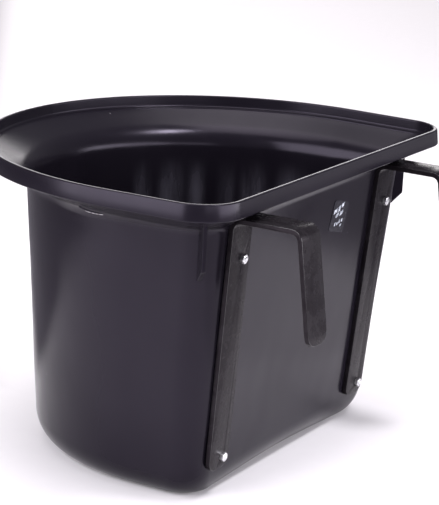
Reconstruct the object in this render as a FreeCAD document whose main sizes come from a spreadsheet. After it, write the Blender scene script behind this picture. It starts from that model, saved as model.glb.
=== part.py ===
import FreeCAD, Part
import math
import os
import Sketcher

# Over-door feed bucket: a D-shaped moulded tub, hung by two bent flat-bar hooks
# that are bolted to its flat wall.
# Frame: +Z up, the flat wall faces -Y, the round back faces +Y.  The origin lies in
# the plane of the base, on the vertical axis of the round back.

App = FreeCAD
doc = App.newDocument("feed_bucket")
X_AXIS = App.Vector(1, 0, 0)

# ---------------------------------------------------------------- driving dimensions

DIMENSIONS = [
    # the tub, outside
    ("rim_top", 261.0),            # height of the upper edge of the rim
    ("rim_radius", 210.5),         # round back, at the upper edge
    ("rim_front", 106.0),          # axis to the flat side of the rim
    ("rim_corner", 36.5),
    ("rim_flare", 1.6),            # the rim band widens downwards by this much
    ("rim_band", 14.0),            # height of the rim band
    ("rim_wall", 3.5),             # thickness of the rim band
    ("rim_lip", 10.4),             # the band stands this far above the flange
    ("rim_round", 1.2),
    ("rim_skirt", 0.6),            # the band hangs this far below the flange
    ("base_radius", 157.0),        # wall, extended to the plane of the base
    ("base_front", 66.5),
    ("base_corner", 27.0),
    ("wall_slope", 0.070),         # outward run of the round wall per unit of height
    ("front_slope", 0.0755),       # the same for the flat wall
    ("wall_corner", 29.0),         # corner of the wall where it meets the rim
    ("side_lean", 2.0),            # the short sides close in towards the flat wall, deg
    ("flange_slope", 0.4545),      # fall per unit of inward run
    ("flange_run", 40.0),          # inward run of the flange cone, to inside the wall
    ("flange_front_run", 30.5),    # the same on the flat side, where it falls faster
    ("skin", 3.2),                 # thickness of wall, floor and flange
    ("base_fillet", 26.0),
    ("shoulder_fillet", 9.0),
    # the two fins at the corners next to the flat wall
    ("fin_x", 168.0),
    ("fin_y", 70.5),
    ("fin_out", 10.5),
    ("fin_angle", 48.0),
    ("fin_thick", 3.5),
    ("fin_foot", 190.5),
    ("fin_top", 238.5),
    ("fin_chamfer", 10.0),
    # the hook brackets
    ("bar_width", 30.0),
    ("bar_thick", 4.0),
    ("bar_corner", 10.0),
    ("arm_top", 240.2),
    ("leg_reach", 155.7),          # axis to the inner face of the leg, at its end
    ("inner_bend", 6.0),
    ("outer_bend", 6.0),
    ("leg_flare", 8.3),
    ("leg_drop", 91.7),            # arm top down to the end of the leg
    ("strip_foot", 24.0),          # lower end of the strip, along the wall
    ("left_bar_x", -134.0),
    ("left_lean", 2.6),
    ("right_bar_x", 119.5),
    ("right_lean", -1.2),
    # fasteners
    ("bolt_dia", 4.0),
    ("bolt_hole", 4.4),
    ("bolt_offset", 4.0),          # holes off the middle of the bar
    ("bolt_top", 204.5),           # along the wall from the base plane
    ("bolt_bottom", 34.5),
    ("bolt_length", 12.2),
    ("head_dia", 8.0),
    ("head_high", 2.6),
    ("recess_wide", 1.0),
    ("recess_long", 4.4),
    ("recess_deep", 1.4),
    ("washer_dia", 12.0),
    ("washer_thick", 0.8),
    ("nut_flats", 7.0),
    ("nut_high", 3.2),
    # label
    ("label_wide", 28.0),
    ("label_high", 27.0),
    ("label_thick", 0.3),
    ("label_corner", 3.0),
    ("label_x", 43.0),
    ("label_up", 204.5),
    ("label_tilt", -13.0),
]

sheet = doc.addObject("Spreadsheet::Sheet", "dims")
for row, (alias, value) in enumerate(DIMENSIONS, start=1):
    sheet.set("A%d" % row, alias)
    sheet.set("B%d" % row, repr(value))
    sheet.setAlias("B%d" % row, alias)
doc.recompute()
dim = {alias: float(sheet.get(alias)) for alias, _ in DIMENSIONS}

# ---------------------------------------------------------------- helpers


def origin_plane(body, role):
    """Return the origin plane of a body that has the given role."""
    return next(f for f in body.Origin.OriginFeatures if f.Role == role)


def add_sketch(body, name, role="XY_Plane"):
    """Make a sketch on one of the body's own origin planes."""
    sketch = body.newObject("Sketcher::SketchObject", name)
    sketch.AttachmentSupport = (origin_plane(body, role), [""])
    sketch.MapMode = "FlatFace"
    return sketch


def bind(sketch, constraint, expression):
    """Add a constraint and drive it from the sheet."""
    index = sketch.addConstraint(constraint)
    sketch.setExpression("Constraints[%d]" % index, expression)
    return index


def lift(sketch, expression):
    """Raise a sketch on the XY plane to a height given by the sheet."""
    sketch.setExpression(".AttachmentOffset.Base.z", expression)


def lay_on_front_wall(sketch):
    """Put a sketch in the outer plane of the flat wall: its y runs up the wall."""
    sketch.AttachmentOffset = App.Placement(App.Vector(0, 0, 0), App.Rotation(X_AXIS, 90))
    sketch.setExpression(".AttachmentOffset.Base.y", "-dims.base_front")
    sketch.setExpression(".AttachmentOffset.Rotation.Angle", "90 deg + atan(dims.front_slope)")


def front_wall_placement(x, up, out, turn=0.0):
    """Placement whose z leaves the flat wall, at x, up the wall and out from it."""
    slope = math.degrees(math.atan(dim["front_slope"]))
    wall = App.Placement(App.Vector(0, -dim["base_front"], 0), App.Rotation(X_AXIS, 90 + slope))
    spot = App.Placement(App.Vector(x, up, out), App.Rotation(App.Vector(0, 0, 1), turn))
    return wall.multiply(spot)


def add_outline(sketch, radius, front, corner):
    """Draw the D of the tub: round back, two short sides, two corners, flat front.

    The arguments are expressions; the solver keeps the sketch true to the sheet.
    """
    value = {name: float(sketch.evalExpression(text).Value
                         if hasattr(sketch.evalExpression(text), "Value")
                         else sketch.evalExpression(text))
             for name, text in (("R", radius), ("F", front), ("C", corner))}
    big, flat, small = value["R"], value["F"], value["C"]
    lean = math.radians(dim["side_lean"])
    cx = (big - small + (small - flat) * math.sin(lean)) / math.cos(lean)
    cy = small - flat
    tangent = App.Vector(big * math.cos(lean), -big * math.sin(lean), 0)
    foot = App.Vector(cx + small * math.cos(lean), cy - small * math.sin(lean), 0)
    up = App.Vector(0, 0, 1)

    def mirrored(point):
        return App.Vector(-point.x, point.y, 0)

    def arc(x, y, r, start, end):
        return Part.ArcOfCircle(Part.Circle(App.Vector(x, y, 0), up, r), start, end)

    first = sketch.GeometryCount
    front_line = sketch.addGeometry(Part.LineSegment(App.Vector(-cx, -flat, 0), App.Vector(cx, -flat, 0)))
    right_corner = sketch.addGeometry(arc(cx, cy, small, -math.pi / 2, -lean))
    right_side = sketch.addGeometry(Part.LineSegment(foot, tangent))
    back = sketch.addGeometry(arc(0, 0, big, -lean, math.pi + lean))
    left_side = sketch.addGeometry(Part.LineSegment(mirrored(tangent), mirrored(foot)))
    left_corner = sketch.addGeometry(arc(-cx, cy, small, math.pi + lean, 1.5 * math.pi))
    chain = [front_line, right_corner, right_side, back, left_side, left_corner]
    for one, two in zip(chain, chain[1:] + chain[:1]):
        sketch.addConstraint(Sketcher.Constraint("Tangent", one, 2, two, 1))
    sketch.addConstraint(Sketcher.Constraint("Coincident", back, 3, -1, 1))
    sketch.addConstraint(Sketcher.Constraint("Horizontal", front_line))
    sketch.addConstraint(Sketcher.Constraint("Equal", right_corner, left_corner))
    bind(sketch, Sketcher.Constraint("Radius", back, big), radius)
    bind(sketch, Sketcher.Constraint("Radius", right_corner, small), corner)
    bind(sketch, Sketcher.Constraint("DistanceY", front_line, 1, -1, 1, flat), front)
    bind(sketch, Sketcher.Constraint("Angle", right_side, math.pi / 2 - lean), "90 deg - dims.side_lean * 1 deg")
    bind(sketch, Sketcher.Constraint("Angle", left_side, lean - math.pi / 2), "dims.side_lean * 1 deg - 90 deg")
    return first


def outline_sketch(body, name, height, radius, front, corner):
    """One level of the tub: a D outline at a height, all given as expressions."""
    sketch = add_sketch(body, name)
    lift(sketch, height)
    add_outline(sketch, radius, front, corner)
    return sketch


def loft(body, kind, name, lower, upper):
    """Join two outlines with straight walls, adding or removing material."""
    feature = body.newObject("PartDesign::" + kind, name)
    feature.Profile = lower
    feature.Sections = [upper]
    feature.Ruled = True
    doc.recompute()
    return feature


def round_edges(body, name, radius, wanted):
    """Fillet the edges of the body's last feature that the test picks."""
    base = body.Tip
    names = ["Edge%d" % (i + 1) for i, edge in enumerate(base.Shape.Edges) if wanted(edge)]
    feature = body.newObject("PartDesign::Fillet", name)
    feature.Base = (base, names)
    feature.setExpression("Radius", radius)
    doc.recompute()
    return feature


def at_height(height):
    """Test for edges that lie wholly in one horizontal plane."""
    return lambda e: abs(e.BoundBox.ZMin - height) < 0.01 and abs(e.BoundBox.ZMax - height) < 0.01


def between(low, high):
    """Test for the long edges that lie between two heights and run round the tub."""
    return lambda e: (e.BoundBox.ZMin > low and e.BoundBox.ZMax < high
                      and e.BoundBox.ZMax - e.BoundBox.ZMin < 0.2 * e.Length)


def volume_fell(before, feature):
    """A cut must take something away."""
    assert feature.Shape.Volume < before - 0.01, feature.Label


# ---------------------------------------------------------------- the tub


def wall_at(height, inset="0"):
    """Expressions for the outline of the tapering wall at a height."""
    rise = "(%s)" % height
    share = "(%s / dims.rim_top)" % rise
    radius = "dims.base_radius + dims.wall_slope * %s - %s" % (rise, inset)
    front = "dims.base_front + dims.front_slope * %s - %s" % (rise, inset)
    corner = "dims.base_corner + (dims.wall_corner - dims.base_corner) * %s - %s" % (share, inset)
    return radius, front, corner


def rim_at(inset):
    """Expressions for the outline of the rim's upper edge, moved inwards."""
    return ("dims.rim_radius - (%s)" % inset,
            "dims.rim_front - (%s)" % inset,
            "dims.rim_corner - (%s)" % inset)


SIDES = [
    # name, middle of the bar at its bend, lean of the strip (deg)
    ("left", "left_bar_x", "left_lean"),
    ("right", "right_bar_x", "right_lean"),
]


BEND_UP = "dims.arm_top - dims.inner_bend - dims.bar_thick"


def bend_up():
    """Distance up the flat wall at which the strips start to bend outwards."""
    return dim["arm_top"] - dim["inner_bend"] - dim["bar_thick"]


def bolt_spots(side=None):
    """Bolt positions in the plane of the flat wall: level, x, distance up, and x as an expression."""
    spots = []
    for name, bar_x, lean in SIDES:
        for level in ("bolt_top", "bolt_bottom"):
            drift = (bend_up() - dim[level]) * math.tan(math.radians(dim[lean]))
            text = "dims.%s + dims.bolt_offset + (%s - dims.%s) * tan(dims.%s * 1 deg)"
            if side in (None, name):
                spots.append((level, dim[bar_x] + dim["bolt_offset"] + drift, dim[level],
                              text % (bar_x, BEND_UP, level, lean)))
    return spots


def add_bolt_holes(body, name, side=None, outwards=False):
    """Drill the bolt holes square to the flat wall."""
    centres = add_sketch(body, name + "_centres")
    lay_on_front_wall(centres)
    for level, x, up, text in bolt_spots(side):
        circle = Part.Circle(App.Vector(x, up, 0), App.Vector(0, 0, 1), dim["bolt_hole"] / 2)
        index = centres.addGeometry(circle)
        bind(centres, Sketcher.Constraint("DistanceX", -1, 1, index, 3, x), text)
        bind(centres, Sketcher.Constraint("DistanceY", -1, 1, index, 3, up), "dims." + level)
        bind(centres, Sketcher.Constraint("Diameter", index, dim["bolt_hole"]), "dims.bolt_hole")
    before = body.Tip.Shape.Volume
    cut = body.newObject("PartDesign::Pocket", name)
    cut.Profile = centres
    cut.Reversed = outwards
    cut.setExpression("Length", "dims.bar_thick * 2")
    doc.recompute()
    volume_fell(before, cut)


def add_fin(body):
    """One fin, drawn in the upright plane that runs out from the corner of the wall."""
    sketch = add_sketch(body, "fin_profile", "XZ_Plane")
    turn = -dim["fin_angle"]
    sketch.AttachmentOffset = App.Placement(App.Vector(dim["fin_x"], 0, dim["fin_y"]),
                                            App.Rotation(App.Vector(0, 1, 0), turn))
    sketch.setExpression(".AttachmentOffset.Base.x", "dims.fin_x")
    sketch.setExpression(".AttachmentOffset.Base.z", "dims.fin_y")
    inner, outer = -dim["skin"] - 2, dim["fin_out"]
    foot, top, bevel = dim["fin_foot"], dim["fin_top"], dim["fin_chamfer"]
    corners = [(inner, foot), (outer - bevel, foot), (outer, foot + bevel), (outer, top), (inner, top)]
    lines = []
    for (ax, ay), (bx, by) in zip(corners, corners[1:] + corners[:1]):
        lines.append(sketch.addGeometry(Part.LineSegment(App.Vector(ax, ay, 0), App.Vector(bx, by, 0))))
    for one, two in zip(lines, lines[1:] + lines[:1]):
        sketch.addConstraint(Sketcher.Constraint("Coincident", one, 2, two, 1))
    for index, way in ((0, "Horizontal"), (2, "Vertical"), (3, "Horizontal"), (4, "Vertical")):
        sketch.addConstraint(Sketcher.Constraint(way, lines[index]))
    bind(sketch, Sketcher.Constraint("DistanceX", lines[4], 2, -1, 1, -inner), "dims.skin + 2")
    bind(sketch, Sketcher.Constraint("DistanceX", -1, 1, lines[2], 1, outer), "dims.fin_out")
    bind(sketch, Sketcher.Constraint("DistanceY", -1, 1, lines[0], 1, foot), "dims.fin_foot")
    bind(sketch, Sketcher.Constraint("DistanceY", -1, 1, lines[3], 1, top), "dims.fin_top")
    bind(sketch, Sketcher.Constraint("DistanceX", lines[0], 2, lines[2], 1, bevel), "dims.fin_chamfer")
    bind(sketch, Sketcher.Constraint("DistanceY", lines[0], 2, lines[2], 1, bevel), "dims.fin_chamfer")
    fin = body.newObject("PartDesign::Pad", "fin")
    fin.Profile = sketch
    fin.Midplane = True
    fin.setExpression("Length", "dims.fin_thick")
    doc.recompute()
    return fin


def make_hollow(flange_low, flange_inside, lip_foot):
    """The space inside the tub as a solid: wall, flange top, and the lip of the rim."""
    body = doc.addObject("PartDesign::Body", "hollow_core")
    low = outline_sketch(body, "floor_outline", "dims.skin", *wall_at("dims.skin", "dims.skin"))
    high = outline_sketch(body, "mouth_outline", lip_foot, *wall_at(lip_foot, "dims.skin"))
    loft(body, "AdditiveLoft", "inner_wall", low, high)
    low = outline_sketch(body, "flange_top_low_outline", flange_low, *flange_inside)
    high = outline_sketch(body, "lip_foot_outline", lip_foot, *rim_at("dims.rim_wall"))
    loft(body, "AdditiveLoft", "flange_top", low, high)
    round_edges(body, "floor_rounding", "dims.base_fillet - dims.skin", at_height(dim["skin"]))
    round_edges(body, "mouth_rounding", "dims.shoulder_fillet + dims.skin", between(228, 240))
    lip = outline_sketch(body, "lip_outline", lip_foot, *rim_at("dims.rim_wall"))
    mouth = body.newObject("PartDesign::Pad", "mouth")
    mouth.Profile = lip
    mouth.setExpression("Length", "dims.rim_lip + 5")
    doc.recompute()
    return body


def make_bucket():
    body = doc.addObject("PartDesign::Body", "bucket")
    body.Label = "bucket"
    lip_foot = "dims.rim_top - dims.rim_lip"
    depth = "dims.skin * sqrt(1 + dims.flange_slope ^ 2)"
    flange_edge = "%s + dims.flange_slope * (dims.rim_wall - dims.rim_flare) - %s" % (lip_foot, depth)
    flange_low = "%s - dims.flange_slope * dims.flange_run" % lip_foot
    band_foot = "dims.rim_top - dims.rim_band"
    flange_inside = ("dims.rim_radius - dims.rim_wall - dims.flange_run",
                     "dims.rim_front - dims.rim_wall - dims.flange_front_run",
                     "dims.base_corner")

    # rim band, first as a solid disc with a recess below it
    low = outline_sketch(body, "band_foot_outline", band_foot, *rim_at("-dims.rim_flare"))
    high = outline_sketch(body, "band_top_outline", "dims.rim_top", *rim_at("0"))
    loft(body, "AdditiveLoft", "rim_disc", low, high)
    under = outline_sketch(body, "skirt_outline", band_foot, *rim_at("dims.rim_flare"))
    before = body.Tip.Shape.Volume
    recess = body.newObject("PartDesign::Pocket", "skirt_recess")
    recess.Profile = under
    recess.Reversed = True
    recess.setExpression("Length", "dims.rim_skirt")
    doc.recompute()
    volume_fell(before, recess)

    # sloping flange and tapering wall, still solid
    low = outline_sketch(body, "flange_low_outline", "%s - %s" % (flange_low, depth), *flange_inside)
    high = outline_sketch(body, "flange_edge_outline", flange_edge, *rim_at("dims.rim_flare"))
    loft(body, "AdditiveLoft", "flange_cone", low, high)
    low = outline_sketch(body, "base_outline", "0", *wall_at("0"))
    high = outline_sketch(body, "wall_top_outline", flange_edge, *wall_at(flange_edge))
    loft(body, "AdditiveLoft", "wall_cone", low, high)
    round_edges(body, "base_rounding", "dims.base_fillet", at_height(0))
    round_edges(body, "shoulder_rounding", "dims.shoulder_fillet", between(228, 240))

    # the two stiffening fins under the flange
    fin = add_fin(body)
    both = body.newObject("PartDesign::Mirrored", "fin_pair")
    both.Originals = [fin]
    both.MirrorPlane = (origin_plane(body, "YZ_Plane"), [""])
    body.Tip = both
    doc.recompute()

    # take the hollow out of it
    hollow = body.newObject("PartDesign::Boolean", "hollow")
    hollow.Type = "Cut"
    hollow.setObjects([make_hollow(flange_low, flange_inside, lip_foot)])
    body.Tip = hollow
    doc.recompute()
    round_edges(body, "rim_rounding", "dims.rim_round", at_height(dim["rim_top"]))

    add_bolt_holes(body, "bolt_holes")
    return body


# ---------------------------------------------------------------- the hook brackets


def chain_lines(sketch, corners, rounds=()):
    """Draw a closed outline through the corners, with arcs at the numbered ones.

    Returns the line numbers and the arc numbers by corner.
    """
    count = len(corners)
    starts, ends, arcs = {}, {}, {}
    rounds = dict(rounds)
    for i in range(count):
        here = App.Vector(*corners[i], 0)
        before = App.Vector(*corners[i - 1], 0)
        after = App.Vector(*corners[(i + 1) % count], 0)
        if i not in rounds:
            ends[i], starts[i] = here, here
            continue
        back = (before - here).normalize()
        ahead = (after - here).normalize()
        half = back.getAngle(ahead) / 2
        reach = rounds[i] / math.tan(half)
        ends[i], starts[i] = here + back * reach, here + ahead * reach
        centre = here + (back + ahead).normalize() * (rounds[i] / math.sin(half))
        middle = centre + (here - centre).normalize() * rounds[i]
        arcs[i] = sketch.addGeometry(Part.Arc(ends[i], middle, starts[i]))
    lines = [sketch.addGeometry(Part.LineSegment(starts[i], ends[(i + 1) % count])) for i in range(count)]
    for i in range(count):
        if i not in rounds:
            sketch.addConstraint(Sketcher.Constraint("Coincident", lines[i - 1], 2, lines[i], 1))
            continue
        for line, end in ((lines[i - 1], 2), (lines[i], 1)):
            point = ends[i] if end == 2 else starts[i]
            side = 1 if (sketch.getPoint(arcs[i], 1) - point).Length < 1e-6 else 2
            sketch.addConstraint(Sketcher.Constraint("Tangent", line, end, arcs[i], side))
    return lines, arcs


def make_bracket(name, bar_x, lean):
    """A flat bar: strip on the wall, arm over the door, leg down behind the door."""
    body = doc.addObject("PartDesign::Body", name)
    body.Label = name
    slope = dim["front_slope"]
    slant = math.sqrt(1 + slope ** 2)
    flare = math.radians(dim["leg_flare"])
    thick = dim["bar_thick"]
    root = bend_up() / slant
    top, under = dim["arm_top"], dim["arm_top"] - thick
    end = top - dim["leg_drop"]

    def on_wall(height, out=0.0):
        return -(dim["base_front"] + slope * height + out * slant), height

    def on_leg(height, out=0.0):
        return -(dim["leg_reach"] - math.tan(flare) * (height - end) + out / math.cos(flare)), height

    corners = [
        on_wall(root),
        on_wall(top),
        on_leg(top, thick),
        (-(dim["leg_reach"] + thick * math.cos(flare)), end + thick * math.sin(flare)),
        (-dim["leg_reach"], end),
        on_leg(under),
        on_wall(under, thick),
        (-(dim["base_front"] + slope * root + thick / slant), root - thick * slope / slant),
    ]
    inner, outer = dim["inner_bend"], dim["outer_bend"]
    profile = add_sketch(body, name + "_profile", "YZ_Plane")
    profile.setExpression(".AttachmentOffset.Base.z", "dims." + bar_x)
    rounds = {1: inner + thick, 2: outer + thick, 5: outer, 6: inner}
    lines, arcs = chain_lines(profile, corners, rounds)
    profile.addConstraint(Sketcher.Constraint("Coincident", arcs[1], 3, arcs[6], 3))
    profile.addConstraint(Sketcher.Constraint("Coincident", arcs[2], 3, arcs[5], 3))
    profile.addConstraint(Sketcher.Constraint("Horizontal", lines[1]))
    profile.addConstraint(Sketcher.Constraint("Perpendicular", lines[3], lines[4]))
    profile.addConstraint(Sketcher.Constraint("Perpendicular", lines[7], lines[0]))
    profile.addConstraint(Sketcher.Constraint("Parallel", lines[2], lines[4]))
    profile.addConstraint(Sketcher.Constraint("Parallel", lines[0], lines[6]))
    bind(profile, Sketcher.Constraint("Angle", lines[0], math.pi / 2 + math.atan(slope)),
         "90 deg + atan(dims.front_slope)")
    bind(profile, Sketcher.Constraint("Angle", lines[4], math.pi / 2 - flare), "90 deg - dims.leg_flare * 1 deg")
    start = "(%s) / sqrt(1 + dims.front_slope ^ 2)" % BEND_UP
    bind(profile, Sketcher.Constraint("DistanceY", -1, 1, lines[0], 1, root), start)
    bind(profile, Sketcher.Constraint("DistanceX", lines[0], 1, -1, 1, -corners[0][0]),
         "dims.base_front + dims.front_slope * " + start)
    bind(profile, Sketcher.Constraint("Radius", arcs[6], inner), "dims.inner_bend")
    bind(profile, Sketcher.Constraint("Radius", arcs[5], outer), "dims.outer_bend")
    bind(profile, Sketcher.Constraint("Radius", arcs[1], inner + thick), "dims.inner_bend + dims.bar_thick")
    bind(profile, Sketcher.Constraint("Radius", arcs[2], outer + thick), "dims.outer_bend + dims.bar_thick")
    bind(profile, Sketcher.Constraint("DistanceY", -1, 1, lines[1], 1, top), "dims.arm_top")
    bind(profile, Sketcher.Constraint("DistanceX", lines[4], 1, -1, 1, dim["leg_reach"]), "dims.leg_reach")
    bind(profile, Sketcher.Constraint("DistanceY", -1, 1, lines[4], 1, end), "dims.arm_top - dims.leg_drop")
    doc.recompute()
    bar = body.newObject("PartDesign::Pad", name + "_bends")
    bar.Profile = profile
    bar.Midplane = True
    bar.setExpression("Length", "dims.bar_width")
    doc.recompute()

    half = dim["bar_width"] / 2
    tilt = math.tan(math.radians(dim[lean]))
    foot = dim["strip_foot"]
    drop = bend_up() - foot
    skew = dim["bar_width"] * tilt
    middle = dim[bar_x]
    corners = [
        (middle - half, bend_up()),
        (middle + half, bend_up()),
        (middle + half + (drop - skew) * tilt, foot + skew),
        (middle - half + drop * tilt, foot),
    ]
    plate = add_sketch(body, name + "_strip_outline", "XY_Plane")
    lay_on_front_wall(plate)
    corner = dim["bar_corner"]
    lines, arcs = chain_lines(plate, corners, {2: corner, 3: corner})
    plate.addConstraint(Sketcher.Constraint("Horizontal", lines[0]))
    plate.addConstraint(Sketcher.Constraint("Parallel", lines[1], lines[3]))
    plate.addConstraint(Sketcher.Constraint("Perpendicular", lines[2], lines[3]))
    for arc in arcs.values():
        bind(plate, Sketcher.Constraint("Radius", arc, corner), "dims.bar_corner")
    bind(plate, Sketcher.Constraint("DistanceX", lines[0], 1, lines[0], 2, 2 * half), "dims.bar_width")
    bind(plate, Sketcher.Constraint("DistanceX", -1, 1, lines[0], 1, middle - half),
         "dims.%s - dims.bar_width / 2" % bar_x)
    bind(plate, Sketcher.Constraint("DistanceY", -1, 1, lines[0], 1, bend_up()), BEND_UP)
    turn = "dims.%s * 1 deg" % lean
    bind(plate, Sketcher.Constraint("Angle", lines[3], math.pi / 2 + math.atan(tilt)), "90 deg + " + turn)
    rise = corner * (math.sin(math.atan(tilt)) + math.cos(math.atan(tilt)))
    bind(plate, Sketcher.Constraint("DistanceY", -1, 1, arcs[3], 3, foot + rise),
         "dims.strip_foot + dims.bar_corner * (sin(%s) + cos(%s))" % (turn, turn))
    doc.recompute()
    strip = body.newObject("PartDesign::Pad", name + "_strip")
    strip.Profile = plate
    strip.setExpression("Length", "dims.bar_thick")
    doc.recompute()
    round_edges(body, name + "_leg_rounding", "dims.bar_corner", leg_end_edge)

    add_bolt_holes(body, name + "_holes", name.rsplit("_", 1)[1], outwards=True)
    return body


def leg_end_edge(edge):
    """Test for the two short edges at the lower corners of the leg."""
    box = edge.BoundBox
    low = dim["arm_top"] - dim["leg_drop"]
    return abs(edge.Length - dim["bar_thick"]) < 0.05 and box.ZMax < low + 1 and box.YMax < 1 - dim["leg_reach"]


# ---------------------------------------------------------------- fasteners and label


def seat_under_head():
    """Distance inwards from the wall's outer face to the bolt head's bearing face."""
    slant = math.sqrt(1 + dim["front_slope"] ** 2)
    return dim["skin"] / slant + dim["washer_thick"]


def make_bolt(name, x, up):
    """Pan-head bolt with a cross recess; its shank runs outwards from the head."""
    body = doc.addObject("PartDesign::Body", name)
    body.Label = name
    shank, head, high = dim["bolt_dia"] / 2, dim["head_dia"] / 2, dim["head_high"]
    length = dim["bolt_length"]
    profile = add_sketch(body, name + "_profile", "XZ_Plane")
    corners = [(0, -high), (0, length), (shank - 0.5, length), (shank, length - 0.5), (shank, 0), (head, 0),
               (head, -high)]
    lines, arcs = chain_lines(profile, corners, {6: high * 0.8})
    for index, way in ((0, "Vertical"), (1, "Horizontal"), (3, "Vertical"), (4, "Horizontal"),
                       (5, "Vertical"), (6, "Horizontal")):
        profile.addConstraint(Sketcher.Constraint(way, lines[index]))
    profile.addConstraint(Sketcher.Constraint("PointOnObject", lines[0], 1, -2))
    profile.addConstraint(Sketcher.Constraint("PointOnObject", lines[4], 1, -1))
    bind(profile, Sketcher.Constraint("DistanceY", lines[0], 1, -1, 1, high), "dims.head_high")
    bind(profile, Sketcher.Constraint("DistanceY", -1, 1, lines[1], 1, length), "dims.bolt_length")
    bind(profile, Sketcher.Constraint("DistanceX", -1, 1, lines[3], 1, shank), "dims.bolt_dia / 2")
    bind(profile, Sketcher.Constraint("DistanceX", -1, 1, lines[5], 1, head), "dims.head_dia / 2")
    bind(profile, Sketcher.Constraint("Radius", arcs[6], high * 0.8), "dims.head_high * 0.8")
    turned = body.newObject("PartDesign::Revolution", name + "_turned")
    turned.Profile = profile
    turned.ReferenceAxis = (profile, ["V_Axis"])
    doc.recompute()
    recess = add_sketch(body, name + "_recess_outline")
    lift(recess, "-dims.head_high")
    wide, long = dim["recess_wide"] / 2, dim["recess_long"] / 2
    cross = [(long, -wide), (long, wide), (wide, wide), (wide, long), (-wide, long), (-wide, wide),
             (-long, wide), (-long, -wide), (-wide, -wide), (-wide, -long), (wide, -long), (wide, -wide)]
    chain_lines(recess, cross)
    before = body.Tip.Shape.Volume
    slots = body.newObject("PartDesign::Pocket", name + "_recess")
    slots.Profile = recess
    slots.Reversed = True
    slots.setExpression("Length", "dims.recess_deep")
    doc.recompute()
    volume_fell(before, slots)
    body.Placement = front_wall_placement(x, up, -seat_under_head(), 20)
    return body


def make_washer(name, x, up):
    """Flat washer between the bolt head and the inside of the wall."""
    body = doc.addObject("PartDesign::Body", name)
    body.Label = name
    ring = add_sketch(body, name + "_ring")
    for alias in ("washer_dia", "bolt_hole"):
        circle = ring.addGeometry(Part.Circle(App.Vector(0, 0, 0), App.Vector(0, 0, 1), dim[alias] / 2))
        ring.addConstraint(Sketcher.Constraint("Coincident", circle, 3, -1, 1))
        bind(ring, Sketcher.Constraint("Diameter", circle, dim[alias]), "dims." + alias)
    flat = body.newObject("PartDesign::Pad", name + "_flat")
    flat.Profile = ring
    flat.setExpression("Length", "dims.washer_thick")
    body.Placement = front_wall_placement(x, up, -seat_under_head())
    return body


def make_nut(name, x, up, turn):
    """Hexagon nut on the outside of the strip, with its outer corners bevelled."""
    body = doc.addObject("PartDesign::Body", name)
    body.Label = name
    reach = dim["nut_flats"] / math.sqrt(3)
    hexagon = add_sketch(body, name + "_hexagon")
    angles = [math.radians(60 * i) for i in range(6)]
    lines, _ = chain_lines(hexagon, [(reach * math.cos(a), reach * math.sin(a)) for a in angles])
    ring = hexagon.addGeometry(Part.Circle(App.Vector(0, 0, 0), App.Vector(0, 0, 1), reach))
    hexagon.toggleConstruction(ring)
    hexagon.addConstraint(Sketcher.Constraint("Coincident", ring, 3, -1, 1))
    hexagon.addConstraint(Sketcher.Constraint("PointOnObject", lines[0], 1, -1))
    for line in lines:
        hexagon.addConstraint(Sketcher.Constraint("PointOnObject", line, 1, ring))
    for line in lines[2:]:
        hexagon.addConstraint(Sketcher.Constraint("Equal", lines[1], line))
    bind(hexagon, Sketcher.Constraint("Radius", ring, reach), "dims.nut_flats / sqrt(3)")
    bore = hexagon.addGeometry(Part.Circle(App.Vector(0, 0, 0), App.Vector(0, 0, 1), dim["bolt_dia"] / 2))
    hexagon.addConstraint(Sketcher.Constraint("Coincident", bore, 3, -1, 1))
    bind(hexagon, Sketcher.Constraint("Diameter", bore, dim["bolt_dia"]), "dims.bolt_dia")
    block = body.newObject("PartDesign::Pad", name + "_block")
    block.Profile = hexagon
    block.setExpression("Length", "dims.nut_high")
    doc.recompute()
    high, inner = dim["nut_high"], dim["nut_flats"] / 2 - 0.1
    outer = reach + 0.5
    bevel = add_sketch(body, name + "_bevel_outline", "XZ_Plane")
    fall = (outer - inner) * math.tan(math.radians(30))
    chain_lines(bevel, [(inner, high), (outer, high), (outer, high - fall)])
    before = body.Tip.Shape.Volume
    turned = body.newObject("PartDesign::Groove", name + "_bevel")
    turned.Profile = bevel
    turned.ReferenceAxis = (bevel, ["V_Axis"])
    doc.recompute()
    volume_fell(before, turned)
    body.Placement = front_wall_placement(x, up, dim["bar_thick"], turn)
    return body


def make_label():
    """Small sticker on the flat wall, between the hooks."""
    body = doc.addObject("PartDesign::Body", "product_label")
    body.Label = "product_label"
    wide, high, corner = dim["label_wide"] / 2, dim["label_high"] / 2, dim["label_corner"]
    outline = add_sketch(body, "label_outline")
    corners = [(-wide, -high), (wide, -high), (wide, high), (-wide, high)]
    lines, arcs = chain_lines(outline, corners, {i: corner for i in range(4)})
    for index in (0, 2):
        outline.addConstraint(Sketcher.Constraint("Horizontal", lines[index]))
        outline.addConstraint(Sketcher.Constraint("Vertical", lines[index + 1]))
    for arc in arcs.values():
        bind(outline, Sketcher.Constraint("Radius", arc, corner), "dims.label_corner")
    bind(outline, Sketcher.Constraint("DistanceX", lines[3], 1, -1, 1, wide), "dims.label_wide / 2")
    bind(outline, Sketcher.Constraint("DistanceX", -1, 1, lines[1], 1, wide), "dims.label_wide / 2")
    bind(outline, Sketcher.Constraint("DistanceY", lines[0], 1, -1, 1, high), "dims.label_high / 2")
    bind(outline, Sketcher.Constraint("DistanceY", -1, 1, lines[2], 1, high), "dims.label_high / 2")
    film = body.newObject("PartDesign::Pad", "label_film")
    film.Profile = outline
    film.setExpression("Length", "dims.label_thick")
    body.Placement = front_wall_placement(dim["label_x"], dim["label_up"], 0, dim["label_tilt"])
    return body


# ---------------------------------------------------------------- assembly

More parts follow.
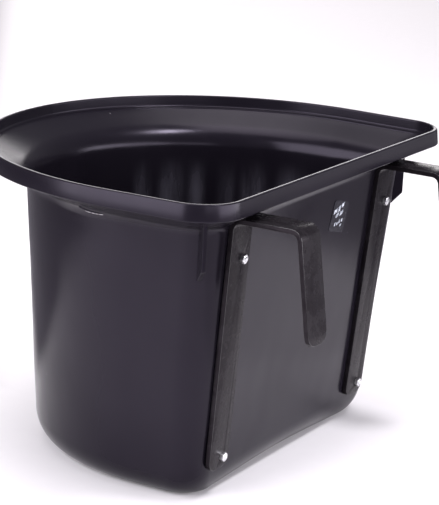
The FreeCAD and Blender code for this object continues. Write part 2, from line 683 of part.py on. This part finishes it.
parts = [make_bucket(), make_label()]
for side, bar_x, lean in SIDES:
    parts.append(make_bracket("hook_bracket_" + side, bar_x, lean))
    for (level, x, up, _), turn in zip(bolt_spots(side), (12, 23)):
        tag = "%s_%s" % (side, level.split("_")[1])
        parts.append(make_bolt("bolt_" + tag, x, up))
        parts.append(make_washer("washer_" + tag, x, up))
        parts.append(make_nut("nut_" + tag, x, up, turn))
doc.recompute()

# ---------------------------------------------------------------- checks and files

for item in doc.Objects:
    assert not {"Invalid", "Error"} & set(item.State), (item.Label, item.State)
os.makedirs("parts", exist_ok=True)
for part in parts:
    shape = part.Shape
    assert not shape.isNull() and shape.isValid() and len(shape.Solids) == 1, part.Label
for part in parts:
    part.Shape.exportStep("parts/%s.step" % part.Label)
    box = part.Shape.optimalBoundingBox(False)
    print(part.Label, round(part.Shape.Volume, 1), box)
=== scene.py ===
import math

import bmesh
import bpy
from mathutils import Matrix, Vector, noise


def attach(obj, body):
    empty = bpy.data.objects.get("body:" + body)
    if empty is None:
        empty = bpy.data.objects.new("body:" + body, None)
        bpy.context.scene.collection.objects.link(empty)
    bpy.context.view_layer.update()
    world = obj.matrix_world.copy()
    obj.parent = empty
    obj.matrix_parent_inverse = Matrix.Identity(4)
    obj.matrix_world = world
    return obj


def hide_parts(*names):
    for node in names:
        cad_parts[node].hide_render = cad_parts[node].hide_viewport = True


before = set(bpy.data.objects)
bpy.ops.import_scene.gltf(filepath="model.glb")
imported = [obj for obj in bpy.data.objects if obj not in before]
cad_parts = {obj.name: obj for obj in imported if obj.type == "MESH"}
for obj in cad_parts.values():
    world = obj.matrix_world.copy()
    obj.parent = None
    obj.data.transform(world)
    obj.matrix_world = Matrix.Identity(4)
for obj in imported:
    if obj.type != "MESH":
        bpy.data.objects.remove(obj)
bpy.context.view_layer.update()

scene = bpy.context.scene
MM = 0.001          # shapes are given in millimetres; materials, floor and lights in metres

# ------------------------------------------------------------------ camera

scene.view_settings.view_transform = "Standard"
CAM_AT = Vector((-1546.6, -867.6, 645.0)) * MM
YAW, PITCH, ROLL = 1.0557, 0.2640, 0.0542      # radians; yaw turns from +Y towards +X, pitch looks down
SENSOR = 36.0
FOCAL_PX, PICTURE_HEIGHT_PX = 2150.0, 505.0
forward = Vector((math.sin(YAW) * math.cos(PITCH), math.cos(YAW) * math.cos(PITCH), -math.sin(PITCH)))
flat_right = forward.cross(Vector((0, 0, 1))).normalized()
flat_up = flat_right.cross(forward)
right = flat_right * math.cos(ROLL) + flat_up * math.sin(ROLL)
above = flat_up * math.cos(ROLL) - flat_right * math.sin(ROLL)
cam_data = bpy.data.cameras.new("camera")
cam_data.sensor_width = SENSOR
cam_data.lens = FOCAL_PX * SENSOR / PICTURE_HEIGHT_PX
cam_data.clip_end = 50.0
cam = bpy.data.objects.new("camera", cam_data)
scene.collection.objects.link(cam)
facing = Matrix((right, above, -forward)).transposed()
cam.matrix_world = Matrix.Translation(CAM_AT) @ facing.to_4x4()
scene.camera = cam

# ------------------------------------------------------------------ node helpers


class Nodes:
    """Short way to build a node tree: n("ShaderNodeX", {socket: value or output}, prop=value)."""

    def __init__(self, tree):
        self.tree = tree

    def __call__(self, kind, inputs=None, **props):
        node = self.tree.nodes.new(kind)
        for key, value in props.items():
            setattr(node, key, value)
        for key, value in (inputs or {}).items():
            socket = node.inputs[key]
            if isinstance(value, bpy.types.NodeSocket):
                self.tree.links.new(value, socket)
            else:
                socket.default_value = value
        return node

    def math(self, op, a, b=0.0, c=0.0, clamp=False):
        return self("ShaderNodeMath", {0: a, 1: b, 2: c}, operation=op, use_clamp=clamp).outputs[0]

    def noise(self, where, scale, detail=3.0, rough=0.5):
        node = self("ShaderNodeTexNoise", {"Vector": where, "Scale": scale, "Detail": detail,
                                           "Roughness": rough})
        return node.outputs["Fac"]

    def ramp(self, value, low, high, out_low=0.0, out_high=1.0):
        """A smooth step from out_low at low to out_high at high."""
        node = self("ShaderNodeMapRange", {"Value": value, "From Min": low, "From Max": high,
                                           "To Min": out_low, "To Max": out_high},
                    interpolation_type="SMOOTHSTEP")
        return node.outputs["Result"]

    def mix(self, fac, a, b):
        node = self("ShaderNodeMix", data_type="RGBA")
        for index, value in ((0, fac), (6, a), (7, b)):
            if isinstance(value, bpy.types.NodeSocket):
                self.tree.links.new(value, node.inputs[index])
            else:
                node.inputs[index].default_value = value
        return node.outputs[2]

    def stretch(self, where, sx, sy, sz):
        return self("ShaderNodeMapping", {"Vector": where, "Scale": (sx, sy, sz)}).outputs[0]


def new_material(name):
    mat = bpy.data.materials.new(name)
    mat.use_nodes = True
    tree = mat.node_tree
    tree.nodes.clear()
    n = Nodes(tree)
    shader = n("ShaderNodeBsdfPrincipled")
    out = n("ShaderNodeOutputMaterial")
    tree.links.new(shader.outputs[0], out.inputs[0])
    where = n("ShaderNodeTexCoord").outputs["Object"]
    return mat, n, shader, where


def plug(n, shader, **sockets):
    """Set or link the shader's sockets; an underscore in a name stands for a space."""
    for key, value in sockets.items():
        socket = shader.inputs[key.replace("_", " ")]
        if isinstance(value, bpy.types.NodeSocket):
            n.tree.links.new(value, socket)
        else:
            socket.default_value = value


def rgb(r, g, b):
    return (r, g, b, 1.0)


# ------------------------------------------------------------------ materials

# material coordinates are in metres, and colours are linear
# rub marks inside the round wall: direction from +X towards +Y (deg), half width (deg), strength
SCUFFS = ((58.5, 4.5, 0.9), (49.0, 6.0, 1.1), (40.5, 4.0, 0.9), (31.0, 4.0, 0.6), (22.0, 6.0, 1.0),
          (10.0, 7.0, 1.0), (97.0, 5.0, 0.3), (124.0, 6.0, 0.6), (151.0, 5.0, 0.5))


# mid-thickness radius of the round wall at the base, and how much it grows with height
MID_WALL_RADIUS, WALL_DRAFT = 0.1554, 0.07


def scuff_mask(n, x, y, z):
    """Soft upright bands on the inside of the round wall, clear of the floor and of the flange."""
    angle = n.math("ARCTAN2", y, x)
    total = 0.0
    for middle, half, strength in SCUFFS:
        away = n.math("ABSOLUTE", n.math("SUBTRACT", angle, math.radians(middle)))
        total = n.math("ADD", total, n.ramp(away, 0.0, math.radians(half), strength, 0.0))
    radius = n("ShaderNodeVectorMath", {0: n("ShaderNodeCombineXYZ", {0: x, 1: y}).outputs[0]},
               operation="LENGTH").outputs["Value"]
    radius_at_base = n.math("SUBTRACT", radius, n.math("MULTIPLY", z, WALL_DRAFT))
    inside = n.math("LESS_THAN", radius_at_base, MID_WALL_RADIUS)
    height = n.math("MULTIPLY", n.ramp(z, 0.215, 0.175), n.ramp(z, 0.020, 0.060))
    return n.math("MULTIPLY", n.math("MULTIPLY", total, inside), height)


def tub_material():
    """Black moulded plastic: soft rub marks, a few pale specks, fine scratches, and a satin flange."""
    mat, n, shader, where = new_material("tub_plastic_moulded")
    x, y, z = n("ShaderNodeSeparateXYZ", {0: where}).outputs
    big = n.noise(where, 9.0, 3.0)
    cloud = n.noise(where, 30.0, 4.0, 0.6)
    fine = n.noise(where, 900.0, 2.0, 0.6)
    smear = n.noise(n.stretch(where, 60.0, 60.0, 12.0), 1.0, 4.0, 0.6)
    dusty = n.math("MULTIPLY", scuff_mask(n, x, y, z), n.ramp(smear, 0.30, 0.62, 0.25, 1.0))
    specks = n("ShaderNodeTexVoronoi", {"Vector": where, "Scale": 46.0, "Randomness": 1.0})
    lot = n("ShaderNodeSeparateColor", {0: specks.outputs["Color"]}).outputs[0]
    chosen = n.math("GREATER_THAN", lot, 0.82)
    speck = n.math("MULTIPLY", n.math("LESS_THAN", specks.outputs["Distance"], 0.030), chosen)
    base = n.mix(n.ramp(big, 0.3, 0.7), rgb(0.0066, 0.0054, 0.0086), rgb(0.0088, 0.0074, 0.0112))
    base = n.mix(n.math("MULTIPLY", dusty, 0.52), base, rgb(0.105, 0.10, 0.125))
    base = n.mix(n.math("MULTIPLY", speck, 0.6), base, rgb(0.20, 0.19, 0.20))
    rough = n.ramp(cloud, 0.25, 0.75, 0.155, 0.215)
    rough = n.math("ADD", rough, n.ramp(z, 0.212, 0.236, 0.0, 0.06))
    rough = n.math("ADD", rough, n.math("MULTIPLY", n.math("ADD", dusty, speck), 0.25), clamp=True)
    scratch = n.noise(n.stretch(where, 20.0, 260.0, 420.0), 1.0, 2.0, 0.5)
    height = n.math("ADD", n.math("MULTIPLY", fine, 0.35), n.math("MULTIPLY", scratch, 0.25))
    bump = n("ShaderNodeBump", {"Strength": 0.08, "Distance": 0.0004, "Height": height})
    plug(n, shader, Base_Color=base, Roughness=rough, Normal=bump.outputs[0])
    plug(n, shader, IOR=1.29, Specular_Tint=rgb(0.88, 0.80, 1.0))
    return mat


def bar_material():
    """Black coated flat bar, a little uneven."""
    mat, n, shader, where = new_material("hook_steel_coated")
    cloud = n.noise(where, 60.0, 5.0, 0.65)
    fine = n.noise(where, 700.0, 3.0, 0.6)
    base = n.mix(n.ramp(cloud, 0.35, 0.7), rgb(0.0095, 0.0078, 0.0095), rgb(0.0165, 0.0145, 0.0168))
    rough = n.ramp(cloud, 0.3, 0.7, 0.20, 0.32)
    bump = n("ShaderNodeBump", {"Strength": 0.25, "Distance": 0.0006,
                                "Height": n.math("ADD", fine, n.math("MULTIPLY", cloud, 2.0))})
    plug(n, shader, Base_Color=base, Roughness=rough, Normal=bump.outputs[0])
    plug(n, shader, IOR=1.16, Specular_Tint=rgb(1.0, 0.86, 1.0))
    return mat


def worn_edge_material():
    """The coating where it is thin and polished, along the bar's edges."""
    mat, n, shader, where = new_material("hook_edge_worn_coating")
    cloud = n.noise(where, 140.0, 4.0, 0.6)
    base = n.mix(n.ramp(cloud, 0.4, 0.7), rgb(0.008, 0.0075, 0.009), rgb(0.022, 0.021, 0.024))
    plug(n, shader, Base_Color=base, Roughness=n.ramp(cloud, 0.3, 0.7, 0.10, 0.20))
    plug(n, shader, IOR=1.6, Coat_Weight=0.5, Coat_Roughness=0.05)
    return mat


def painted_highlight_edge_material():
    """A painted highlight: plastic painted pale in places, along the lower edge of the mould mark."""
    mat, n, shader, where = new_material("tub_plastic_painted_highlight_edge")
    highlight_patchy = n.ramp(n.noise(where, 420.0, 3.0, 0.6), 0.40, 0.60)
    # painted highlight: pale patches that stand for light caught along the mark's lower edge
    base = n.mix(highlight_patchy, rgb(0.02, 0.018, 0.022), rgb(0.75, 0.72, 0.73))
    plug(n, shader, Base_Color=base, Roughness=0.35)
    return mat


def zinc_material():
    mat, n, shader, where = new_material("zinc_plated_steel")
    cloud = n.noise(where, 420.0, 4.0, 0.6)
    base = n.mix(cloud, rgb(0.72, 0.72, 0.75), rgb(0.92, 0.92, 0.92))
    rough = n.ramp(cloud, 0.3, 0.7, 0.30, 0.45)
    plug(n, shader, Base_Color=base, Roughness=rough, Metallic=1.0)
    return mat


def label_material():
    mat, n, shader, where = new_material("label_printed_film")
    cloud = n.noise(where, 260.0, 3.0, 0.6)
    base = n.mix(n.ramp(cloud, 0.35, 0.65), rgb(0.010, 0.010, 0.014), rgb(0.018, 0.017, 0.024))
    rough = n.ramp(cloud, 0.3, 0.7, 0.16, 0.28)
    plug(n, shader, Base_Color=base, Roughness=rough, IOR=1.38)
    return mat


def ink_material():
    mat, n, shader, where = new_material("label_pale_ink")
    cloud = n.noise(where, 500.0, 3.0, 0.6)
    base = n.mix(n.ramp(cloud, 0.35, 0.55), rgb(0.16, 0.18, 0.22), rgb(0.62, 0.66, 0.74))
    plug(n, shader, Base_Color=base, Roughness=n.ramp(cloud, 0.3, 0.7, 0.25, 0.45))
    return mat


TUB = tub_material()
BAR = bar_material()
EDGE = worn_edge_material()
# painted highlight for the lower edge of the mould mark
PAINTED_HIGHLIGHT_EDGE = painted_highlight_edge_material()
ZINC = zinc_material()
LABEL = label_material()
INK = ink_material()

# ------------------------------------------------------------------ mesh helpers


def mesh_object(name, verts, faces, material, smooth=True):
    mesh = bpy.data.meshes.new(name)
    mesh.from_pydata([tuple(v) for v in verts], [], faces)
    mesh.validate()
    if smooth:
        mesh.shade_smooth()
    mesh.materials.append(material)
    obj = bpy.data.objects.new(name, mesh)
    scene.collection.objects.link(obj)
    return obj


def rounded(points, radii, steps):
    """Replace the corners of a 3-D polyline by arcs of the given radii, each in its number of steps."""
    out = [points[0]]
    for i in range(1, len(points) - 1):
        here, radius, count = points[i], radii[i], steps[i]
        back = (points[i - 1] - here).normalized()
        ahead = (points[i + 1] - here).normalized()
        half = back.angle(ahead) / 2
        reach = radius / math.tan(half)
        start, end = here + back * reach, here + ahead * reach
        centre = here + (back + ahead).normalized() * (radius / math.sin(half))
        a, b = start - centre, end - centre
        sweep = a.angle(b)
        for k in range(count + 1):
            t = k / count
            wa = math.sin((1 - t) * sweep) / math.sin(sweep)
            wb = math.sin(t * sweep) / math.sin(sweep)
            out.append(centre + a * wa + b * wb)
    out.append(points[-1])
    return out


# ------------------------------------------------------------------ the tub

LEAN = math.radians(2.0)        # how far the straight sides spread towards the round back
RIM_TOP = 261.0
WALL_THICK = 3.2


def outline_point(level, part, t):
    """A point of the D at a level (radius, front, corner, height): part 0..5, t 0..1 along it."""
    big, flat, small, z = level
    cx = (big - small + (small - flat) * math.sin(LEAN)) / math.cos(LEAN)
    cy = small - flat
    tangent = Vector((big * math.cos(LEAN), -big * math.sin(LEAN)))
    foot = Vector((cx + small * math.cos(LEAN), cy - small * math.sin(LEAN)))
    if part == 0:
        p = Vector((-cx + 2 * cx * t, -flat))
    elif part == 1:
        angle = -math.pi / 2 + (math.pi / 2 - LEAN) * t
        p = Vector((cx + small * math.cos(angle), cy + small * math.sin(angle)))
    elif part == 2:
        p = foot.lerp(tangent, t)
    elif part == 3:
        angle = -LEAN + (math.pi + 2 * LEAN) * t
        p = Vector((big * math.cos(angle), big * math.sin(angle)))
    elif part == 4:
        p = foot.lerp(tangent, 1 - t)
        p.x = -p.x
    else:
        angle = math.pi + LEAN + (math.pi / 2 - LEAN) * t
        p = Vector((-cx + small * math.cos(angle), cy + small * math.sin(angle)))
    return Vector((p.x, p.y, z))


# stations round the D: flat side, corner, straight, round back, straight, corner
PART_STEPS = (64, 22, 14, 150, 14, 22)
STATIONS = [(part, k / count) for part, count in enumerate(PART_STEPS) for k in range(count)]


def wall_level(z, inset=0.0):
    """The wall's outline at a height: radius of the back, distance of the flat side, corner radius."""
    return (157.0 + 0.070 * z - inset, 66.5 + 0.0755 * z - inset, 27.0 + 2.0 * z / RIM_TOP - inset, z)


def rim_level(z, inset):
    """The same for the rim."""
    return (210.5 - inset, 106.0 - inset, 36.5 - inset, z)


def crease_height(part, t):
    """The flange meets the wall higher on the flat side than round the back."""
    curved, flat, corner, rise = 231.7, 236.15, 231.9, 2.4
    if part == 0:
        edge = min(t, 1 - t) * 2
        return flat + (corner + rise - flat) * max(0.0, 1 - edge * 9) ** 2
    if part == 1:
        return corner + rise * (1 - t) ** 2
    if part == 5:
        return corner + rise * t ** 2
    return curved


def roundness(part, t):
    """How full the shoulder under the flange is: 0 along the flat side, 1 round the back."""
    if part in (0, 3):
        return 0.0 if part == 0 else 1.0
    if part in (1, 2):
        return (t + part - 1) / 2
    return (2 - t - (part - 4)) / 2


def tub_section(part, t):
    """The moulding's skin at one station, from the underside of the base up and over to the floor."""
    def at(level):
        return outline_point(level, part, t)

    crease = crease_height(part, t)
    soft = roundness(part, t)
    middle = Vector((0, 22, 0))
    # each corner of the section, with the radius and the number of steps of its rounding
    corners = [
        (middle, 0, 0),
        (at(wall_level(0.0)), 26.0, 14),
        (at(wall_level(crease)), 9.0 + 4.0 * soft, 12),
        (at(rim_level(247.9, 1.6)), 0.35, 2),
        (at(rim_level(247.0, 1.7)), 0.35, 2),
        (at(rim_level(247.0, -1.6)), 1.1, 4),
        (at(rim_level(RIM_TOP, 0.0)), 1.3, 5),
        (at(rim_level(RIM_TOP, 3.5)), 1.3, 5),
        (at(rim_level(250.9, 3.6)), 2.0, 5),
        (at(rim_level(250.4, 7.6)), 0.5, 3),
        (at(rim_level(249.4, 8.0)), 0.6, 3),
        (at(wall_level(crease + 2.2, WALL_THICK)), 13.0 + 11.0 * soft, 20),
        (at(wall_level(WALL_THICK, WALL_THICK)), 22.8, 14),
        (middle + Vector((0, 0, WALL_THICK)), 0, 0),
    ]
    return rounded(*zip(*corners))


RUN_LENGTH = 9.0


def subdivide_runs(ring, runs):
    """Add points on the long straight runs, at the same places for every station."""
    out = []
    for a, b, count in zip(ring, ring[1:], runs):
        out += [a.lerp(b, k / count) for k in range(count)]
    out.append(ring[-1])
    return out


def waviness(p):
    """Slow unevenness of the moulded wall, in mm along the normal."""
    slow = noise.noise(Vector(p) * 0.018)
    quick = noise.noise(Vector(p) * 0.06 + Vector((9, 4, 1)))
    return 0.35 * slow + 0.10 * quick


def dress(obj, material, node_name):
    """A piece that rides the one body, takes the slot's finish and stands for a CAD node."""
    obj.data.materials.clear()
    obj.data.materials.append(material)
    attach(obj, "root")
    if node_name:
        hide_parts(node_name)


def make_tub():
    """The whole moulding as one closed skin: sections at every station, joined into a ring."""
    corners = [tub_section(part, t) for part, t in STATIONS]
    first = corners[0]
    runs = [max(1, int(round((b - a).length / RUN_LENGTH))) for a, b in zip(first, first[1:])]
    sections = [subdivide_runs(ring, runs) for ring in corners]
    verts, faces = [], []
    for section in sections:
        verts += section[1:-1]
    rings = len(sections[0]) - 2
    total = len(STATIONS)
    under, floor = len(verts), len(verts) + 1
    verts += [sections[0][0], sections[0][-1]]
    for s in range(total):
        nxt = (s + 1) % total
        for k in range(rings - 1):
            faces.append((s * rings + k, nxt * rings + k, nxt * rings + k + 1, s * rings + k + 1))
    for s in range(total):
        nxt = (s + 1) % total
        faces.append((under, nxt * rings, s * rings))
        faces.append((floor, s * rings + rings - 1, nxt * rings + rings - 1))
    probe = bpy.data.meshes.new("probe")
    probe.from_pydata([tuple(v) for v in verts], [], faces)
    shaped = []
    for v, p in zip(probe.vertices, verts):
        body = 1.0 if 12 < p.z < 246 else 0.0
        fade = min(1.0, max(0.0, (p.z - 4) / 25)) * min(1.0, max(0.0, (243 - p.z) / 12))
        shaped.append((p + v.normal * waviness(p) * fade * body) * MM)
    bpy.data.meshes.remove(probe)
    tub = mesh_object("tub", shaped, faces, TUB)
    dress(tub, TUB, "bucket")
    return tub


def soften_edges(obj, width):
    """Round the sharp edges by a small radius, and keep the flat faces flat in the shading."""
    bevel = obj.modifiers.new("edge_radius", "BEVEL")
    bevel.width = width * MM
    bevel.segments = 3
    bevel.limit_method = "ANGLE"
    bevel.angle_limit = math.radians(35)
    bevel.harden_normals = True
    bevel.use_clamp_overlap = True


def softened_copy(node_name, name, width, material, edge_material=None):
    """The CAD piece again, with its faces merged and its edges rounded, in their own finish if given."""
    shape = bmesh.new()
    shape.from_mesh(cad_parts[node_name].data)
    bmesh.ops.remove_doubles(shape, verts=shape.verts, dist=1e-6)
    bmesh.ops.dissolve_limit(shape, angle_limit=math.radians(0.6), verts=shape.verts, edges=shape.edges)
    mesh = bpy.data.meshes.new(name)
    shape.to_mesh(mesh)
    shape.free()
    mesh.shade_smooth()
    obj = bpy.data.objects.new(name, mesh)
    scene.collection.objects.link(obj)
    soften_edges(obj, width)
    dress(obj, material, node_name)
    if edge_material:
        obj.data.materials.append(edge_material)
        obj.modifiers["edge_radius"].material = 1


def prism(name, outline, origin, across, up, thick, material):
    """A flat outline given along two directions, made solid on both sides of its plane."""
    normal = across.cross(up).normalized() * thick / 2
    middle = [origin + across * a + up * b for a, b in outline]
    count = len(middle)
    verts = [(p - normal) * MM for p in middle] + [(p + normal) * MM for p in middle]
    faces = [tuple(range(count))[::-1], tuple(range(count, 2 * count))]
    faces += [(k, (k + 1) % count, (k + 1) % count + count, k + count) for k in range(count)]
    return mesh_object(name, verts, faces, material)


def make_fins():
    """The two small fins under the flange, at the corners of the flat side."""
    turn = math.radians(48)
    thick, corner_x, corner_y = 3.5, 168.0, -70.5
    # distance out from the corner, height
    outline = [(-2.2, 190.5), (0.5, 190.5), (10.5, 200.5), (10.5, 238.2), (-2.2, 233.4)]
    for side, sign in (("left", -1), ("right", 1)):
        outwards = Vector((sign * math.cos(turn), -math.sin(turn), 0))
        origin = Vector((sign * corner_x, corner_y, 0))
        fin = prism("fin_" + side, outline, origin, outwards, Vector((0, 0, 1)), thick, TUB)
        soften_edges(fin, 0.7)
        dress(fin, TUB, None)


def make_mould_mark(tub):
    """A small raised crescent that the mould left under the flange, on the left."""
    radius, sides, count = 0.85, 10, 24
    reach, middle_turn, half_turn = 175, 170.6, 4.7
    spine = []
    for k in range(count + 1):
        t = 2 * k / count - 1
        angle = math.radians(middle_turn - half_turn * t)
        height = 229.3 + 3.2 * max(0.0, t) ** 2 + 0.8 * t * t
        guess = Vector((math.cos(angle) * reach, math.sin(angle) * reach, height))
        _, place, normal, _ = tub.closest_point_on_mesh(guess * MM)
        spine.append((place / MM, normal, radius * math.sqrt(max(0.03, 1 - t ** 4))))
    verts, faces = [], []
    for k, (place, normal, size) in enumerate(spine):
        ahead = (spine[min(k + 1, count)][0] - spine[max(k - 1, 0)][0]).normalized()
        side = ahead.cross(normal).normalized()
        for j in range(sides):
            turn = 2 * math.pi * j / sides
            verts.append((place + (side * math.cos(turn) + normal * math.sin(turn)) * size) * MM)
    for k in range(count):
        for j in range(sides):
            nxt = (j + 1) % sides
            faces.append((k * sides + j, k * sides + nxt, (k + 1) * sides + nxt, (k + 1) * sides + j))
    faces += [tuple(range(sides))[::-1], tuple(range(count * sides, (count + 1) * sides))]
    mark = mesh_object("mould_mark", verts, faces, TUB)
    dress(mark, TUB, None)
    # a painted highlight: the lower outer edge is painted pale along two thirds of the crescent
    mark.data.materials.append(PAINTED_HIGHLIGHT_EDGE)
    for k in range(1, 2 * count // 3):
        for j in (2, 3):
            mark.data.polygons[k * sides + j].material_index = 1


def make_label_print():
    """A plain pattern of pale patches on the label, standing for its print."""
    across = Vector((1, 0, 0))
    up = Vector((0, -0.0755, 1)).normalized()
    out = across.cross(up)
    tilt = Matrix.Rotation(math.radians(-13), 3, -out)
    centre = Vector((43, -66.5, 0)) + up * 204.5 + out * 0.33
    across, up = tilt @ across, tilt @ up
    thick = 0.06
    # place across and up from the label's middle, width, height
    patches = [(-6.0, 7.5, 5.5, 3.4), (0.6, 7.0, 4.4, 4.6), (7.0, 8.0, 4.2, 3.2), (-3.2, 2.6, 5.0, 3.0),
               (4.0, 1.8, 5.6, 3.2), (-7.4, -4.4, 1.8, 3.0), (-3.6, -5.4, 2.2, 2.4), (0.6, -4.8, 1.8, 3.2),
               (5.0, -5.6, 2.2, 2.4), (2.6, -9.2, 3.0, 1.4)]
    for index, (a, b, wide, high) in enumerate(patches):
        lean = 0.25 * high
        outline = [(a - wide / 2 - lean, b - high / 2), (a + wide / 2 - lean, b - high / 2),
                   (a + wide / 2 + lean, b + high / 2), (a - wide / 2 + lean, b + high / 2)]
        patch = prism("label_patch_%d" % (index + 1), outline, centre, across, up, thick, INK)
        dress(patch, INK, None)


make_mould_mark(make_tub())
make_fins()
make_label_print()
BAR_EDGE, FASTENER_EDGE = 0.8, 0.25
for name, node in list(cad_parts.items()):
    if name.startswith("hook"):
        softened_copy(name, name.replace("bracket", "bar"), BAR_EDGE, BAR, EDGE)
    elif name.startswith(("bolt", "washer", "nut")):
        softened_copy(name, name.replace("_", "_piece_", 1), FASTENER_EDGE, ZINC)
    elif name == "product_label":
        if not node.data.materials:
            node.data.materials.append(LABEL)
        for slot in node.material_slots:
            slot.material = LABEL

# ------------------------------------------------------------------ floor and light


def make_floor():
    """Pale paper that runs away behind the tub, fading at its edges into a greyer studio floor."""
    mat, n, shader, where = new_material("studio_floor")
    x, y, _ = n("ShaderNodeSeparateXYZ", {0: where}).outputs
    # the left edge is a bent line, the right one a straight line with a dimmer strip beyond it
    left_near = n.math("MINIMUM", n.math("MULTIPLY_ADD", x, -1.1, 0.26), 0.52)
    left_line = n.math("MAXIMUM", n.math("MULTIPLY_ADD", x, 0.708, 0.28), left_near)
    right_line = n.math("ADD", n.math("MULTIPLY_ADD", x, -0.439, y), 0.26)
    fade = 0.07
    dim_strip = n.ramp(n.math("SUBTRACT", 0.52, x), -fade, fade, 0.0, 0.74)
    paper = n.math("MAXIMUM", n.ramp(right_line, -0.10, 0.04), dim_strip)
    for edge in (n.math("SUBTRACT", left_line, y), n.math("ADD", x, 0.74), n.math("ADD", y, 0.70)):
        paper = n.math("MULTIPLY", paper, n.ramp(edge, -fade, fade))
    grain = n.noise(where, 60.0, 3.0)
    pale = n.mix(grain, rgb(0.93, 0.91, 0.92), rgb(0.96, 0.94, 0.95))
    plug(n, shader, Base_Color=n.mix(paper, rgb(0.18, 0.172, 0.19), pale), Roughness=0.85)
    plug(n, shader, Specular_IOR_Level=0.1)
    half = 6.0
    verts = [Vector((a * half, b * half, 0)) for a, b in ((-1, -1), (1, -1), (1, 1), (-1, 1))]
    floor = mesh_object("studio_floor", verts, [(0, 1, 2, 3)], mat, smooth=False)


def area_light(name, at, aim, width, height, radiance, color, spread=180):
    """A soft light of a given size and brightness, which itself stays out of the picture."""
    data = bpy.data.lights.new(name, "AREA")
    data.shape = "RECTANGLE"
    data.size, data.size_y = width, height
    data.energy = radiance * 4.0 * width * height
    data.color = color
    data.spread = math.radians(spread)
    obj = bpy.data.objects.new(name, data)
    scene.collection.objects.link(obj)
    obj.location = at
    obj.rotation_euler = (Vector(aim) - Vector(at)).to_track_quat("-Z", "Y").to_euler()
    obj.visible_camera = False
    return obj


def compass(angle, distance, height):
    """A place round the object: the angle turns from +Y towards +X."""
    turn = math.radians(angle)
    return Vector((math.sin(turn) * distance, math.cos(turn) * distance, height))


make_floor()
world = bpy.data.worlds.new("studio")
scene.world = world
world.use_nodes = True
background = world.node_tree.nodes["Background"]
background.inputs["Color"].default_value = rgb(0.93, 0.91, 1.0)
background.inputs["Strength"].default_value = 0.26
COOL = (0.97, 0.95, 1.0)
WARM = (1.0, 0.965, 0.975)
BEHIND = 61                  # the compass angle straight behind the object, as the camera looks
# place, point aimed at, width, height and brightness, in metres
area_light("softbox_left", compass(-65, 1.5, 0.75), (0, 0, 0.40), 1.3, 1.5, 4.7, COOL)
area_light("softbox_right", compass(168, 1.5, 0.42), (0, 0, 0.36), 1.7, 0.7, 5.2, COOL)
area_light("low_fill", compass(119, 1.5, 0.18), (0, 0, 0.20), 0.8, 0.34, 0.4, COOL)
area_light("corner_fill", compass(212, 1.6, 0.50), (0, 0, 0.34), 0.9, 0.5, 1.7, COOL)
area_light("key", compass(172, 0.92, 2.15), (0, 0, 0.25), 0.44, 0.44, 35.0, COOL)
area_light("backdrop", compass(BEHIND, 5.2, 0.95), (0, 0, 0.25), 2.6, 1.9, 2.4, WARM)
# a long light overhead that faces straight down, with its long side along the view
overhead_at = compass(BEHIND, 1.40, 2.3) + compass(BEHIND - 90, 0.35, 0)
overhead = area_light("overhead", overhead_at, (0, 0, 0), 1.4, 4.4, 0.76, WARM, 85)
overhead.rotation_euler = (0, 0, -math.radians(BEHIND))
